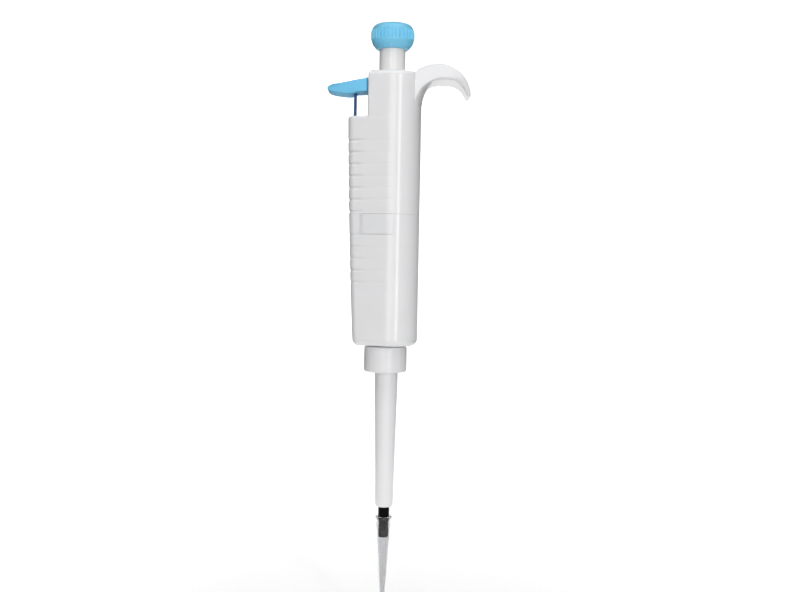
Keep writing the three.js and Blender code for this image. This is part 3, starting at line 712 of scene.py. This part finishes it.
def ejector_lever():
    """The outline carried across the handle, its edges rounded and its nose drawn in."""
    outline = np.array(lever_outline())
    away = outline - outline.mean(0)
    away /= np.linalg.norm(away, axis=1, keepdims=True)
    rings = []
    half, edge = 6.2, 0.8
    angles = np.linspace(0, math.pi / 2, 6)
    near = -half + edge * (1 - np.cos(angles))
    between = np.linspace(-half + edge, half - edge, 13)[1:-1]
    for y in np.concatenate([near, between, -near[::-1]]):
        into = max(0.0, abs(y) - (half - edge)) / edge
        draw = 0.45 * (1 - math.sqrt(max(0.0, 1 - into * into)))
        ring = outline - away * draw
        rings.append(np.stack([ring[:, 0], np.full(len(ring), y), ring[:, 1]], 1))
    rings = np.array(rings)
    nose = np.clip((-25.5 - rings[:, :, 0]) / 4.4, 0, 1)
    rings[:, :, 1] *= 1 - 0.28 * nose**2
    blade = solid("ejector_thumb_lever", *grid(rings))
    wide = TONGUE["half_wide"]
    tongue = box(HEAD_FRONT - 1, HEAD_FRONT + WALL - 0.1, -wide, wide, TONGUE["low"], TONGUE["high"])
    combine(blade, "UNION", tongue)
    combine(blade, "DIFFERENCE", strip_cut(GAP / 2, 198, 204))
    return finish_piece(blade, "ejector", "blue_lever", "ejector_lever", sharp=38)


def ejector_strip():
    outline = round_rectangle(STRIP["half_wide"], STRIP["half_thick"], 0.25)
    rings = [[(STRIP["x"] + v, y, z) for y, v in outline] for z in np.linspace(182.6, 203.8, 30)]
    strip = solid("ejector_link_strip", *grid(rings))
    # The strip gets the lever's blue painted dark as the shade under the lever.
    return finish_piece(strip, "ejector", "deep_blue", "ejector_strip")


# ---------------------------------------------------------------- counter
COUNTER = {"low": 160.4, "pitch": 6.6, "height": 6, "bore": 3.45, "radius": 7.4}
COUNTER_RINGS = (
    # CAD node, body and the digit that faces the window
    ("counter_ring_low", "volume_screw", 0),
    ("counter_ring_middle", "middle_counter", 0),
    ("counter_ring_high", "high_counter", 2),
)


def digit_mesh(name, digit):
    """One raised digit lying flat, in millimetres."""
    text = bpy.data.curves.new(name, "FONT")
    text.body = str(digit)
    text.size = 4.9
    text.align_x = "CENTER"
    text.align_y = "CENTER"
    text.extrude = 0.04
    text.resolution_u = 3
    holder = bpy.data.objects.new(text.name, text)
    bpy.context.scene.collection.objects.link(holder)
    flat = evaluated_mesh(holder)
    bpy.data.objects.remove(holder)
    return flat


def counter_ring(index, node, body, shown):
    """A counter drum with the digits 0 to 9 round it, one of them facing the window."""
    low = COUNTER["low"] + COUNTER["pitch"] * index
    high = low + COUNTER["height"]
    inner, outer = COUNTER["bore"], COUNTER["radius"]
    drum = lathe(node + "_drum", [(inner, low), (outer, low), (outer, high), (inner, high)], 0.3)
    finish_piece(drum, body, "counter_black", node)
    facing = WINDOW_TURN + math.pi / 2
    for step in range(10):
        name = f"{node}_digit_{step}"
        flat = digit_mesh(name, (shown - step) % 10)
        points = []
        for v in flat.vertices:
            a = facing + step * math.pi / 5 + v.co.x / outer
            r = outer + 0.02 + v.co.z
            points.append((r * math.cos(a), r * math.sin(a), (low + high) / 2 + v.co.y))
        digit = solid(name, points, [tuple(f.vertices) for f in flat.polygons])
        finish_piece(digit, body, "digit_white")


# ---------------------------------------------------------------- springs
def spring(name, node, body, finish, wire, turns, x=0.0):
    """A compression spring with closed ends, in the space its CAD node takes."""
    low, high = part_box(node)
    outer = (high.y - low.y) / 2 / MM
    bottom, top = level(low.z), level(high.z)
    mean = outer - wire / 2
    rise = (top - bottom - wire) / (2 * math.pi * turns * mean)
    per_turn, sides = 40, 10
    count = turns * per_turn
    rings = []
    for i in range(count + 1):
        t = i / count
        a = 2 * math.pi * turns * t
        z = bottom + wire / 2 + t * (top - bottom - wire)
        ring = []
        for k in range(sides):
            b = 2 * math.pi * k / sides
            out, up = wire / 2 * math.cos(b), wire / 2 * math.sin(b)
            angle = a - up * rise / mean
            ring.append((x + (mean + out) * math.cos(angle), (mean + out) * math.sin(angle), z + up))
        rings.append(ring)
    return finish_piece(solid(name, *grid(rings)), body, finish, node)


def squashed_springs():
    """The three springs, each in the space its CAD node takes, with a mesh of its own."""
    primary = spring("return_spring", "primary_spring", "blow_out_stop", "spring_steel", 0.8, 7)
    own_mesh(primary)
    second = spring("second_stop_spring", "blow_out_spring", "handle", "spring_steel", 1.0, 3)
    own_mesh(second)
    low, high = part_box("ejector_spring")
    middle = ((low.x + high.x) / 2 - AXIS_X) / MM
    third = spring("ejector_return_spring", "ejector_spring", "handle", "spring_steel", 0.6, 9, middle)
    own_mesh(third)


# ---------------------------------------------------------------- CAD nodes that stay in view
NODE_FINISH = {
    "neck_bush": "acetal",
    "counter_frame": "acetal",
    "lead_screw": "brass",
    "transfer_pinion_low": "acetal",
    "transfer_pinion_high": "acetal",
    "pinion_pin": "steel",
    "volume_stop_nut": "acetal",
    "push_rod": "steel",
    "piston_head": "acetal",
    "piston": "steel",
    "blow_out_plate": "steel",
    "spring_cup": "steel",
    "shaft": "white_shaft",
    "piston_seal": "ptfe",
    "piston_o_ring": "seal_rubber",
    "seal_retainer": "steel",
    "ejector_bar": "steel",
}


def paint_frame_nodes():
    """Gives every CAD node that is still shown its procedural finish."""
    finish_of = {m["slot"]: m for m in frame["record"]["materials"]}
    for name, node in frame["nodes"].items():
        if node.hide_render:
            continue
        slot = NODE_FINISH[name]
        if slot not in finish_of:
            raise ValueError(f"{name} has no such material slot: {slot}")
        node.data.materials.clear()
        node.data.materials.append(FINISHES[slot])


# ---------------------------------------------------------------- studio
FLAG_GREY = material("flag_grey", (0.06, 0.06, 0.06), 0.05, 0.9, 0.1, 60)


def stage_sheet(name, points, faces, finish, shadow=True, seen=True):
    """A thin sheet in the studio, in the row's metres, that isn't part of the pipette."""
    mesh = bpy.data.meshes.new(name)
    mesh.from_pydata(points, [], faces)
    mesh.polygons.foreach_set("use_smooth", [True] * len(mesh.polygons))
    mesh.materials.append(finish)
    sheet = bpy.data.objects.new(name, mesh)
    sheet.visible_camera = seen
    sheet.visible_shadow = shadow
    bpy.context.scene.collection.objects.link(sheet)


def backdrop():
    """A pale floor that sweeps up into a wall behind the pipette."""
    floor_z, radius, near, back, half = CAD_BOX[0][2] - 0.0003, 0.35, -3.0, 1.3, 3.0
    path = [(near, floor_z), (back - radius, floor_z)]
    for a in np.linspace(0, math.pi / 2, 25)[1:]:
        path.append((back - radius + radius * math.sin(a), floor_z + radius * (1 - math.cos(a))))
    path.append((back, floor_z + 1.6))
    points = [(x, y, z) for y, z in path for x in (-half, half)]
    faces = [(2 * i, 2 * i + 1, 2 * i + 3, 2 * i + 2) for i in range(len(path) - 1)]
    stage_sheet("sweep", points, faces, material("pale_paper", (0.95, 0.95, 0.95), 0.004, 0.8, 0.05, 60))


def side_flags():
    """Grey cards just outside the picture, which give the white plastic its darker edges."""
    low, high, near, far = CAD_BOX[0][2] + 0.04, CAD_BOX[1][2] + 0.15, -0.22, 0.4
    for name, side in (("flag_left", -1), ("flag_right", 1)):
        x = AXIS_X + side * 0.13
        points = [(x, near, low), (x, far, low), (x, far, high), (x, near, high)]
        stage_sheet(name, points, [(0, 1, 2, 3)], FLAG_GREY, shadow=False, seen=False)


def top_flag():
    """A card over the pipette that keeps the light for the sweep off its upper edges."""
    z = CAD_BOX[1][2] + 0.05
    left, right, near, far = -0.07, 0.03, -0.025, 0.07
    points = [(left, near, z), (right, near, z), (right, far, z), (left, far, z)]
    stage_sheet("flag_top", points, [(0, 1, 2, 3)], FLAG_GREY, seen=False)


def area_light(name, place, target, size, power, size_y=None):
    """A soft light aimed at a point, square unless size_y is given."""
    data = bpy.data.lights.new(name, "AREA")
    data.energy = power
    data.size = size
    if size_y:
        data.shape = "RECTANGLE"
        data.size_y = size_y
    lamp = bpy.data.objects.new(name, data)
    lamp.location = place
    lamp.rotation_euler = (Vector(target) - Vector(place)).to_track_quat("-Z", "Y").to_euler()
    bpy.context.scene.collection.objects.link(lamp)


def studio():
    backdrop()
    side_flags()
    top_flag()
    middle = (AXIS_X, 0, BASE_Z + 0.12)
    area_light("key", (AXIS_X - 0.15, -1.1, 0.15), middle, size=0.5, power=3.2, size_y=0.9)
    area_light("strip", (AXIS_X + 0.33, -0.75, -0.05), middle, size=0.06, power=2.3, size_y=0.9)
    area_light("top", (AXIS_X, -0.1, 1.0), middle, size=0.8, power=0.6)
    area_light("sweep_light", (AXIS_X, 0.35, 0.9), (AXIS_X, 1.3, -0.1), size=1.6, power=20)
    world = bpy.data.worlds.new("studio")
    world.use_nodes = True
    world.node_tree.nodes["Background"].inputs["Color"].default_value = (1, 1, 1, 1)
    world.node_tree.nodes["Background"].inputs["Strength"].default_value = 0.32
    bpy.context.scene.world = world
    bpy.context.scene.view_settings.view_transform = "Standard"


def camera():
    """Level with the grip, square to its side, and turned a little about its line of sight."""
    data = bpy.data.cameras.new("camera")
    data.lens = 45.4
    data.shift_y = -0.036
    eye = bpy.data.objects.new("camera", data)
    eye.location = (AXIS_X + 0.0053, -0.46, BASE_Z + 0.1228)
    eye.rotation_euler = (math.pi / 2, math.radians(-1.1), 0)
    bpy.context.scene.collection.objects.link(eye)
    bpy.context.scene.camera = eye


# ---------------------------------------------------------------- build
camera()
studio()
upper_shell()
lower_shell()
grip_label()
window_lens()
finger_hook()
push_button()
plain_turnings()
ejector_collar()
ejector_lever()
ejector_strip()
for index, ring in enumerate(COUNTER_RINGS):
    counter_ring(index, *ring)
squashed_springs()
paint_frame_nodes()
